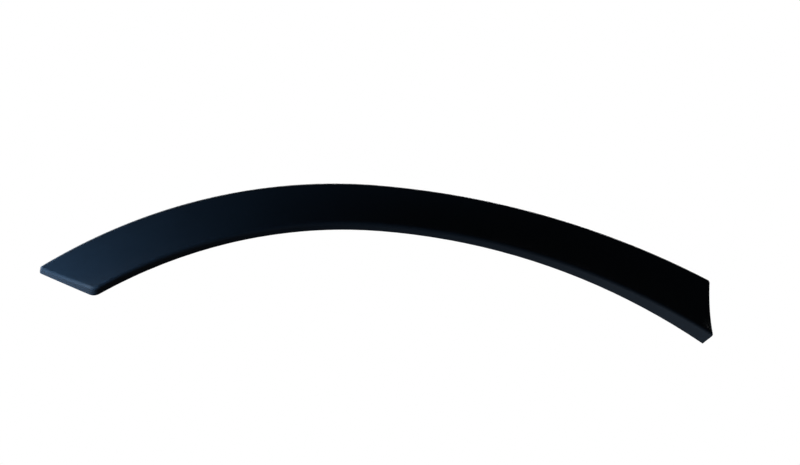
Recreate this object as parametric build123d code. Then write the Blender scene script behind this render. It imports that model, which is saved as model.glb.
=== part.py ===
from build123d import *
import math
import os

# Wheel arch trim: one moulded shell, standing as on the car.
# X runs along the car, +Y goes inboard and +Z up, so the outer face looks towards -Y.
# The origin is on the crown peg's axis, where the trim's back edges seat on the wing.

# Outline seen from outside the car: each edge is a pair of arcs, tangent at the crown
upper_radius_left = 444.0
upper_radius_right = 780.0
lower_radius_left = 395.0
lower_radius_right = 610.0
crown_band = 38.6
left_reach = 262.5
left_cut_slope = 23.2
left_tip_radius = 1.8
left_corner_radius = 8.0
right_reach = 283.0
right_cut_slope = 6.6
right_corner_radius = 3.0

# Outer skin: bowed in plan, leaning inboard towards its upper edge
plan_radius = 2500.0
lean_left = 8.0
lean_right = 14.0

# Section: wall, rounded edges, return flange below and lip above
wall = 2.6
roll_radius = 2.2
flange_depth_left = 18.0
flange_depth_crown = 13.4
flange_depth_right = 25.4
lip_depth = 11.0

# Clip towers square to the face: low open-ended boxes whose roofs have a round-ended clip slot
tower_places = (-198.0, -122.0, -48.0, 48.0, 126.0, 212.0)
tower_length = 25.0
tower_wall = 2.0
tower_roof = 2.2
clip_slot_width = 6.0
clip_head_width = 14.0
clip_head_room = 3.4

# Locating pegs that point straight inboard, each on a gusseted boss
peg_places = (0.0, 165.0)
peg_radius = 3.0
peg_length = 10.0
peg_tip_chamfer = 1.0
boss_radius = 5.0
boss_below_seat = 2.0
gusset_reach = 6.0
gusset_step = 2.0

# Stiffening webs between the face and the flange
web_places = (-160.0, -86.0, 86.0, 250.0)
web_thickness = 1.6
web_below_edge = 2.0
web_rise = 0.62

# Working values
sheet_margin = 18.0
sheet_columns = 17
sheet_rows = 7
sheet_run = 90.0
least_inner_radius = 0.5
slope_probe = 0.5
crown_lean = lean_left + (lean_right - lean_left) * left_reach / (left_reach + right_reach)
seat_depth = (flange_depth_crown + crown_lean + lip_depth) / 2


def edge_height(x, radius_left, radius_right, crown_height):
    """Height of an outline edge above the origin at a place along the car."""
    radius = radius_left if x < 0 else radius_right
    return crown_height - radius + math.sqrt(radius**2 - x**2)


def upper_height(x, inset=0.0):
    """Height of the upper edge, brought in by an inset."""
    return edge_height(x, upper_radius_left - inset, upper_radius_right - inset, crown_band / 2 - inset)


def lower_height(x, inset=0.0):
    """Height of the lower edge, brought in by an inset."""
    return edge_height(x, lower_radius_left + inset, lower_radius_right + inset, inset - crown_band / 2)


def height_at(x, share):
    """Height at a share of the band: 0 on the lower edge, 1 on the upper edge."""
    return lower_height(x) + share * (upper_height(x) - lower_height(x))


def share_at(x, z):
    """Share of the band at a height: 0 on the lower edge, 1 on the upper edge."""
    return (z - lower_height(x)) / (upper_height(x) - lower_height(x))


def slope_at(x):
    """Direction of the band, in degrees above level, at a place along the car."""
    upper_radius = upper_radius_left if x < 0 else upper_radius_right
    lower_radius = lower_radius_left if x < 0 else lower_radius_right
    return -math.degrees(math.asin(x / upper_radius) + math.asin(x / lower_radius)) / 2


def plan_bow(x):
    """How far the plan curve has gone inboard from the crown."""
    return plan_radius - math.sqrt(plan_radius**2 - x**2)


def lean_at(x):
    """How far the upper edge stands inboard of the lower edge."""
    return lean_left + (lean_right - lean_left) * (x + left_reach) / (left_reach + right_reach)


def flange_depth_at(x):
    """Depth of the return flange: least at the crown, and flaring into a tab at the right end."""
    end_depth = flange_depth_left if x < 0 else flange_depth_right
    reach = left_reach if x < 0 else right_reach
    return flange_depth_crown + (end_depth - flange_depth_crown) * (x / reach) ** 2


def skin_y(x, share):
    """Outer skin: the face sweeps outwards towards the lower edge."""
    return plan_bow(x) - seat_depth + lean_at(x) * share * (2 - share)


def seat_y(x, share):
    """Back edges: the flange's edge below, the lip's edge above, and the seat between them."""
    flange_edge = flange_depth_at(x)
    lip_edge = lean_at(x) + lip_depth
    return plan_bow(x) - seat_depth + flange_edge + share * (lip_edge - flange_edge)


def solid_behind(depth_of, shift=0.0):
    """Everything inboard of a sheet that is given by its depth over the band."""
    start = -left_reach - sheet_margin
    step = (right_reach + left_reach + 2 * sheet_margin) / (sheet_columns - 1)
    overlap = sheet_margin / crown_band
    rows = []
    for column in range(sheet_columns):
        x = start + column * step
        shares = [-overlap + row * (1 + 2 * overlap) / (sheet_rows - 1) for row in range(sheet_rows)]
        rows.append([(x, depth_of(x, share) + shift, height_at(x, share)) for share in shares])
    return extrude(Face.make_surface_from_array_of_points(rows), sheet_run, dir=(0, 1, 0))


def meet_edge(point, direction, crown_height, radius, growth):
    """Where a line first meets an outline arc, whose radius grows about the same centre."""
    height = point.Y - crown_height + radius
    along = point.X * direction.X + height * direction.Y
    apart = point.X**2 + height**2 - (radius + growth) ** 2
    return point - direction * (along + math.sqrt(along**2 - apart))


def outline(inset=0.0, right_overrun=0.0):
    """The band seen from outside, with its slanting left end and nearly upright right end."""
    upper_start = crown_band / 2
    lower_start = -crown_band / 2

    left_angle = math.radians(left_cut_slope)
    left_run = Vector(math.cos(left_angle), -math.sin(left_angle))
    left_inward = Vector(math.sin(left_angle), math.cos(left_angle))
    left_edge = Vector(-left_reach, upper_height(-left_reach)) + left_inward * inset
    tip = meet_edge(left_edge, left_run, upper_start, upper_radius_left, -inset)
    left_foot = meet_edge(left_edge, left_run, lower_start, lower_radius_left, inset)

    right_angle = math.radians(right_cut_slope)
    right_run = Vector(-math.sin(right_angle), -math.cos(right_angle))
    right_edge = Vector(right_reach + right_overrun, upper_height(right_reach))
    top = meet_edge(right_edge, right_run, upper_start, upper_radius_right, -inset)
    right_foot = meet_edge(right_edge, right_run, lower_start, lower_radius_right, inset)

    upper_crown = (0, upper_height(0, inset))
    lower_crown = (0, lower_height(0, inset))
    edges = [
        ThreePointArc(tip, (tip.X / 2, upper_height(tip.X / 2, inset)), upper_crown),
        ThreePointArc(upper_crown, (top.X / 2, upper_height(top.X / 2, inset)), top),
        Line(top, right_foot),
        ThreePointArc(right_foot, (right_foot.X / 2, lower_height(right_foot.X / 2, inset)), lower_crown),
        ThreePointArc(lower_crown, (left_foot.X / 2, lower_height(left_foot.X / 2, inset)), left_foot),
        Line(left_foot, tip),
    ]
    band = Plane.XZ * make_face(Curve() + edges)
    rounded = ((tip, left_tip_radius), (left_foot, left_corner_radius), (top, right_corner_radius))
    for corner, radius in rounded:
        vertex = band.vertices().sort_by_distance((corner.X, 0, corner.Y))[0]
        band = fillet(vertex, max(radius - inset, least_inner_radius))
    return band


def blank(inset=0.0, right_overrun=0.0):
    """The trim as a sharp-edged block, brought in by an inset on its skin, edges and left end."""
    prism = extrude(outline(inset, right_overrun), 2 * sheet_run, both=True)
    return prism & solid_behind(skin_y, inset)


def rolled(block):
    """A block with all the edges of its skin rolled over."""
    front_and_back = block.faces().filter_by(GeomType.BSPLINE).sort_by(SortBy.AREA)[-2:]
    skin = front_and_back.sort_by(Axis.Y)[0]
    return fillet(skin.edges(), roll_radius)


def band_direction(x):
    """Direction along the band, seen from outside."""
    slope = math.radians(slope_at(x))
    return Vector(math.cos(slope), 0, math.sin(slope))


def face_plane(x):
    """A plane on the inside of the face at mid band: its x runs along the band, its z goes inboard."""
    z = height_at(x, 0.5)
    along = [skin_y(x + step, share_at(x + step, z)) for step in (-slope_probe, slope_probe)]
    upward = [skin_y(x, share_at(x, z + step)) for step in (-slope_probe, slope_probe)]
    run = 2 * slope_probe
    inboard = Vector((along[0] - along[1]) / run, 1, (upward[0] - upward[1]) / run).normalized()
    origin = Vector(x, skin_y(x, 0.5), z) + inboard * wall
    return Plane(origin, x_dir=band_direction(x), z_dir=inboard)


def clip_tower(x):
    """A low box behind the face, open at one end, with a slot in its roof."""
    down = (Align.CENTER, Align.CENTER, Align.MAX)
    roof = clip_head_room + tower_roof
    box = Pos(0, 0, roof) * Box(tower_length, clip_head_width + 2 * tower_wall, sheet_run, align=down)
    box -= Pos(tower_wall, 0, clip_head_room) * Box(tower_length, clip_head_width, sheet_run, align=down)
    box -= Pos(tower_length / 2, 0, roof) * Box(tower_length, clip_slot_width, 2 * tower_roof)
    box -= Pos(0, 0, roof) * Cylinder(clip_slot_width / 2, 2 * tower_roof)
    return face_plane(x) * box


def peg_plane(x):
    """A plane on the seat at mid band, square to the car: its x runs along the band, its z inboard."""
    return Plane((x, seat_y(x, 0.5), height_at(x, 0.5)), x_dir=band_direction(x), z_dir=(0, 1, 0))


def peg_boss(x):
    """The round boss under a peg, with four gussets that stop short of its top."""
    down = (Align.CENTER, Align.CENTER, Align.MAX)
    span = 2 * (boss_radius + gusset_reach)
    gussets = Box(span, web_thickness, sheet_run, align=down)
    gussets += Box(web_thickness, span, sheet_run, align=down)
    boss = Cylinder(boss_radius, sheet_run, align=down)
    return peg_plane(x) * Pos(0, 0, -boss_below_seat) * (boss + Pos(0, 0, -gusset_step) * gussets)


def peg_shaft(x):
    """The peg itself, standing on its boss, with a chamfered tip."""
    upward = (Align.CENTER, Align.CENTER, Align.MIN)
    shaft = Cylinder(peg_radius, peg_length + peg_tip_chamfer, align=upward)
    shaft = chamfer(shaft.edges().sort_by(Axis.Z)[-1], peg_tip_chamfer)
    return peg_plane(x) * Pos(0, 0, -boss_below_seat) * shaft


def flange_web(x):
    """A three-cornered web between the face and the return flange."""
    along = band_direction(x)
    foot = Plane((x, 0, lower_height(x)), x_dir=(-along.Z, 0, along.X), z_dir=-along)
    top = web_rise * crown_band
    free_edge = seat_y(x, 0) - web_below_edge
    corners = [
        (-sheet_margin, -sheet_run),
        (-sheet_margin, free_edge),
        (wall, free_edge),
        (top, skin_y(x, web_rise) + wall),
        (top, -sheet_run),
    ]
    return extrude(foot * make_face(Polyline(*corners, close=True)), web_thickness / 2, both=True)


def arch_trim():
    """The whole moulding: shell, clip towers, webs and pegs."""
    beyond_seat = solid_behind(seat_y)
    shell = rolled(blank()) - blank(wall, sheet_margin) - beyond_seat
    core = blank(wall / 2) - beyond_seat
    inner = [clip_tower(x) for x in tower_places]
    inner += [flange_web(x) for x in web_places]
    inner += [peg_boss(x) for x in peg_places]
    for feature in inner:
        shell += feature & core
    for x in peg_places:
        shell += peg_shaft(x)
    return shell


os.makedirs("parts", exist_ok=True)
export_step(arch_trim(), "parts/arch_trim.step")
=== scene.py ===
import logging
import math
from dataclasses import dataclass, field
from enum import Enum
from typing import Any, Optional

import bpy
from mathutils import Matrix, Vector

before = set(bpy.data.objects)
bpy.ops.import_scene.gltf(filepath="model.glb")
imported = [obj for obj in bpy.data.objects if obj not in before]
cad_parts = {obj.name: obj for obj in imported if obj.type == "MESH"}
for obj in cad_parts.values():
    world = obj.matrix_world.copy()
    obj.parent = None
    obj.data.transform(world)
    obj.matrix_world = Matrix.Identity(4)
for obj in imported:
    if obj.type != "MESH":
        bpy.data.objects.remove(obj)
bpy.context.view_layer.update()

# A wheel arch trim, dressed as one black moulding and lit as a catalogue picture.
# Lengths are metres in the frame's own axes: +X along the car, +Y inboard, +Z up.

LOG = logging.getLogger("arch_trim")
MM = 0.001
IMAGE_WIDTH_PX = 800
SENSOR_MM = 36.0

# Socket numbers of a Mix node that mixes colours
MIX_FACTOR, MIX_A, MIX_B, MIX_RESULT = 0, 6, 7, 2

Place = tuple[float, float, float]
Colour = tuple[float, float, float, float]


class ToolHalf(Enum):
    """The half of the moulding tool that formed a surface."""

    CAVITY = "outer face"
    CORE = "hidden back"


class Aim(Enum):
    """The point of the trim that a lamp looks at."""

    LEFT_END = (-0.25, 0.0, -0.06)
    MIDDLE = (0.0, 0.0, -0.04)
    RIGHT_HALF = (0.1, 0.0, -0.04)


class LampTone(Enum):
    """The colour of a lamp's light, as an sRGB hex value."""

    COOL = "#b0dcff"
    WARM = "#fffaf2"
    NEUTRAL = "#ffffff"


def linear(hex_colour: str) -> Colour:
    """Turns an sRGB hex colour into linear values.

    Args:
        hex_colour: The colour as "#rrggbb".

    Returns:
        Linear red, green and blue, with a full alpha.
    """
    values = []
    for start in (1, 3, 5):
        share = int(hex_colour[start:start + 2], 16) / 255.0
        values.append(share / 12.92 if share <= 0.04045 else ((share + 0.055) / 1.055) ** 2.4)
    return values[0], values[1], values[2], 1.0


def add_node(tree: bpy.types.NodeTree, kind: str, settings: Optional[dict[str, Any]] = None,
             inputs: Optional[dict[Any, Any]] = None) -> bpy.types.Node:
    """Adds a node with its settings, values and links.

    Args:
        tree: The node tree that gets the node.
        kind: The node's type name.
        settings: Attributes of the node itself.
        inputs: Socket names or numbers, each with a plain value or an output socket to link.

    Returns:
        The new node.
    """
    node = tree.nodes.new(kind)
    for name, value in (settings or {}).items():
        setattr(node, name, value)
    for name, value in (inputs or {}).items():
        socket = node.inputs[name]
        if isinstance(value, bpy.types.NodeSocket):
            tree.links.new(value, socket)
        else:
            socket.default_value = value
    return node


def seen_directly(tree: bpy.types.NodeTree) -> bpy.types.NodeSocket:
    """Tells what the camera sees, straight or through glass, from what lights the moulding.

    Args:
        tree: The node tree of the floor or of the room.

    Returns:
        A socket that is 1 for the camera's view and 0 for all other light.
    """
    path = add_node(tree, "ShaderNodeLightPath")
    seen = add_node(tree, "ShaderNodeMath", {"operation": "MAXIMUM"}, {
        0: path.outputs["Is Camera Ray"], 1: path.outputs["Is Transmission Ray"]})
    return seen.outputs["Value"]


@dataclass(frozen=True)
class MouldedPolypropylene:
    """Black polypropylene, injection moulded against a fine spark-eroded tool face.

    It gives the eye a deep blue-black that stays dark, with a soft satin light where it turns
    towards a lamp. The back came off a plainer tool half, so it is a little shinier there.
    """

    name: str = "black_polypropylene_moulded"
    colour: str = "#121a23"
    bloom_colour: str = "#16202b"
    ior: float = 1.49
    specular: float = 0.20
    cavity_roughness: float = 0.72
    core_roughness: float = 0.58
    roughness_spread: float = 0.05
    grain_mm: float = 1.1
    grain_detail: float = 2.0
    grain_depth_mm: float = 0.006
    grain_strength: float = 0.5
    bloom_mm: float = 45.0
    bloom_detail: float = 3.0
    # Noise values between which the gloss drifts from end to end of its spread
    bloom_low: float = 0.3
    bloom_high: float = 0.7
    # Inboard share of a surface's normal between which one tool half gives way to the other
    core_starts: float = 0.05
    core_full: float = 0.45

    def roughness_of(self, half: ToolHalf) -> float:
        """Gives the roughness that a tool half leaves on the moulding."""
        return self.cavity_roughness if half is ToolHalf.CAVITY else self.core_roughness

    def material(self) -> bpy.types.Material:
        """Builds the material.

        Returns:
            The finished material.
        """
        made = bpy.data.materials.new(self.name)
        made.use_nodes = True
        tree = made.node_tree
        tree.nodes.clear()
        place = add_node(tree, "ShaderNodeTexCoord")

        # The real grain is about 0.2 mm across, under a pixel, so it is drawn about five times as coarse
        grain = add_node(tree, "ShaderNodeTexNoise", {"noise_dimensions": "3D"}, {
            "Vector": place.outputs["Object"], "Scale": 1.0 / (self.grain_mm * MM),
            "Detail": self.grain_detail})
        # Slow drift of tone and gloss, as the melt front leaves it along a long thin part
        bloom = add_node(tree, "ShaderNodeTexNoise", {"noise_dimensions": "3D"}, {
            "Vector": place.outputs["Object"], "Scale": 1.0 / (self.bloom_mm * MM),
            "Detail": self.bloom_detail})
        colour = add_node(tree, "ShaderNodeMix", {"data_type": "RGBA"}, {
            MIX_FACTOR: bloom.outputs["Fac"],
            MIX_A: linear(self.colour), MIX_B: linear(self.bloom_colour)})

        normal = add_node(tree, "ShaderNodeSeparateXYZ", None, {"Vector": place.outputs["Normal"]})
        tool_gloss = add_node(tree, "ShaderNodeMapRange", {"clamp": True}, {
            "Value": normal.outputs["Y"], "From Min": self.core_starts, "From Max": self.core_full,
            "To Min": self.roughness_of(ToolHalf.CAVITY), "To Max": self.roughness_of(ToolHalf.CORE)})
        drift = add_node(tree, "ShaderNodeMapRange", {"clamp": True}, {
            "Value": bloom.outputs["Fac"], "From Min": self.bloom_low, "From Max": self.bloom_high,
            "To Min": -self.roughness_spread, "To Max": self.roughness_spread})
        roughness = add_node(tree, "ShaderNodeMath", {"operation": "ADD"}, {
            0: tool_gloss.outputs["Result"], 1: drift.outputs["Result"]})
        bump = add_node(tree, "ShaderNodeBump", None, {
            "Height": grain.outputs["Fac"], "Distance": self.grain_depth_mm * MM,
            "Strength": self.grain_strength})
        shader = add_node(tree, "ShaderNodeBsdfPrincipled", None, {
            "Base Color": colour.outputs[MIX_RESULT], "Roughness": roughness.outputs["Value"],
            "Normal": bump.outputs["Normal"], "IOR": self.ior, "Specular IOR Level": self.specular})
        add_node(tree, "ShaderNodeOutputMaterial", None, {"Surface": shader.outputs["BSDF"]})
        return made


@dataclass(frozen=True)
class PaperFloor:
    """Matt studio paper that gives the eye an even white ground.

    To the camera it glows a hair under white, which leaves room for the lamps' light and shadow.
    To the lamps it is grey, so that it throws little light back up under the moulding.
    """

    name: str = "white_paper_floor"
    glow_colour: str = "#fdfdfd"
    lamp_colour: str = "#5a5a5a"

    def material(self) -> bpy.types.Material:
        """Builds the material.

        Returns:
            The finished material.
        """
        made = bpy.data.materials.new(self.name)
        made.use_nodes = True
        tree = made.node_tree
        tree.nodes.clear()
        glow = add_node(tree, "ShaderNodeEmission", None, {
            "Color": linear(self.glow_colour), "Strength": seen_directly(tree)})
        paper = add_node(tree, "ShaderNodeBsdfDiffuse", None, {"Color": linear(self.lamp_colour)})
        both = add_node(tree, "ShaderNodeAddShader", None, {
            0: paper.outputs["BSDF"], 1: glow.outputs["Emission"]})
        add_node(tree, "ShaderNodeOutputMaterial", None, {"Surface": both.outputs["Shader"]})
        return made


@dataclass
class ArchTrim:
    """The trim itself: one moulding, shown as its own solid with a finish on it."""

    node: str = "arch_trim"
    finish: MouldedPolypropylene = field(default_factory=MouldedPolypropylene)

    def dress(self) -> bpy.types.Object:
        """Puts the finish on the moulding.

        Returns:
            The moulding's object.
        """
        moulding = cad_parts[self.node]
        moulding.material_slots[0].material = self.finish.material()
        return moulding


@dataclass
class Floor:
    """A square floor at road height under the wheel arch."""

    height: float = -0.70
    reach: float = 12.0
    finish: PaperFloor = field(default_factory=PaperFloor)

    def build(self) -> bpy.types.Object:
        """Makes the floor.

        Returns:
            The floor's object.
        """
        around = ((-1, -1), (1, -1), (1, 1), (-1, 1))
        corners = [(x * self.reach, y * self.reach, self.height) for x, y in around]
        mesh = bpy.data.meshes.new("floor")
        mesh.from_pydata(corners, [], [(0, 1, 2, 3)])
        floor = bpy.data.objects.new("floor", mesh)
        bpy.context.scene.collection.objects.link(floor)
        mesh.materials.append(self.finish.material())
        return floor


@dataclass
class Room:
    """The surroundings: white to the camera, and dim to the moulding.

    The moulding's gloss sees the dim room too: in the picture its face is nearly black away from
    the lamps.
    """

    name: str = "white_room"
    colour: str = "#ffffff"
    ambient: float = 0.035

    def build(self) -> None:
        """Makes the room's light and gives it to the scene."""
        world = bpy.data.worlds.new(self.name)
        bpy.context.scene.world = world
        world.use_nodes = True
        tree = world.node_tree
        tree.nodes.clear()
        level = add_node(tree, "ShaderNodeMath", {"operation": "MAXIMUM"}, {
            0: seen_directly(tree), 1: self.ambient})
        room = add_node(tree, "ShaderNodeBackground", None, {
            "Color": linear(self.colour), "Strength": level.outputs["Value"]})
        add_node(tree, "ShaderNodeOutputWorld", None, {"Surface": room.outputs["Background"]})


@dataclass(frozen=True)
class Softbox:
    """A square studio lamp that looks at a point of the trim; its spread is in degrees."""

    name: str
    place: Place
    aim: Aim
    size: float
    spread: float
    watts: float
    tone: LampTone

    def hang(self) -> bpy.types.Object:
        """Makes the lamp.

        Returns:
            The lamp's object.
        """
        lamp = bpy.data.lights.new(self.name, "AREA")
        lamp.shape = "SQUARE"
        lamp.size = self.size
        lamp.spread = math.radians(self.spread)
        lamp.energy = self.watts
        lamp.color = linear(self.tone.value)[:3]
        held = bpy.data.objects.new(self.name, lamp)
        held.location = self.place
        towards = Vector(self.aim.value) - Vector(self.place)
        held.rotation_euler = towards.to_track_quat("-Z", "Y").to_euler()
        held.visible_camera = False
        bpy.context.scene.collection.objects.link(held)
        return held


@dataclass
class Viewpoint:
    """The camera, where the picture was taken from: low, and to the left of the trim's middle.

    The angles are in degrees, and the focal length is in pixels of the picture.
    """

    yaw: float = -12.61
    pitch: float = -20.10
    distance: float = 1.5
    aim: Place = (0.0174, 0.0, -0.0175)
    focal_px: float = 1888.7

    def place(self) -> bpy.types.Object:
        """Makes the camera and gives it to the scene.

        Returns:
            The camera's object.
        """
        turn, lift = math.radians(self.yaw), math.radians(self.pitch)
        back = Vector((math.sin(turn) * math.cos(lift), -math.cos(turn) * math.cos(lift), math.sin(lift)))
        lens = bpy.data.cameras.new("camera")
        lens.sensor_width = SENSOR_MM
        lens.lens = self.focal_px * SENSOR_MM / IMAGE_WIDTH_PX
        held = bpy.data.objects.new("camera", lens)
        held.location = Vector(self.aim) + back * self.distance
        held.rotation_euler = (-back).to_track_quat("-Z", "Y").to_euler()
        bpy.context.scene.collection.objects.link(held)
        bpy.context.scene.camera = held
        return held


@dataclass
class Studio:
    """Floor, room, lamps and viewpoint.

    The left lamps light the outer face, the end wall and the flange's underside as in the picture.
    The rear lamps hang high and inboard, so that they show the hidden back and leave the face alone.
    """

    floor: Floor = field(default_factory=Floor)
    room: Room = field(default_factory=Room)
    viewpoint: Viewpoint = field(default_factory=Viewpoint)
    lamps: tuple[Softbox, ...] = (
        Softbox("left_near", place=(-0.39, -0.037, -0.105), aim=Aim.LEFT_END,
                size=0.12, spread=90.0, watts=0.43, tone=LampTone.COOL),
        Softbox("left_front", place=(-1.60, -0.26, -0.06), aim=Aim.MIDDLE,
                size=0.30, spread=60.0, watts=0.38, tone=LampTone.COOL),
        Softbox("left_far", place=(-1.50, 0.35, -0.20), aim=Aim.MIDDLE,
                size=0.25, spread=60.0, watts=2.00, tone=LampTone.WARM),
        Softbox("left_high", place=(-1.50, 0.35, 0.25), aim=Aim.MIDDLE,
                size=0.25, spread=60.0, watts=4.80, tone=LampTone.WARM),
        Softbox("rear_fill", place=(-0.20, 1.60, 0.50), aim=Aim.MIDDLE,
                size=0.40, spread=40.0, watts=1.8, tone=LampTone.NEUTRAL),
        Softbox("rear_high", place=(0.05, 0.62, 1.15), aim=Aim.MIDDLE,
                size=0.60, spread=60.0, watts=4.5, tone=LampTone.NEUTRAL),
        Softbox("rear_left", place=(-0.62, 0.66, 0.95), aim=Aim.MIDDLE,
                size=0.50, spread=60.0, watts=3.0, tone=LampTone.NEUTRAL),
        Softbox("rear_right", place=(0.66, 0.66, 0.95), aim=Aim.RIGHT_HALF,
                size=0.40, spread=50.0, watts=2.2, tone=LampTone.NEUTRAL),
    )

    def build(self) -> None:
        """Builds the floor, the room, the lamps and the camera."""
        self.floor.build()
        self.room.build()
        for lamp in self.lamps:
            lamp.hang()
        self.viewpoint.place()
        bpy.context.scene.view_settings.view_transform = "Standard"


def main() -> None:
    """Dresses the trim, builds the studio and reports each piece."""
    logging.basicConfig(level=logging.INFO, format="%(name)s: %(message)s")
    moulding = ArchTrim().dress()
    LOG.info("%s dressed, %d faces", moulding.name, len(moulding.data.polygons))
    studio = Studio()
    studio.build()
    LOG.info("studio built, with %d lamps", len(studio.lamps))


if __name__ == "__main__":
    main()
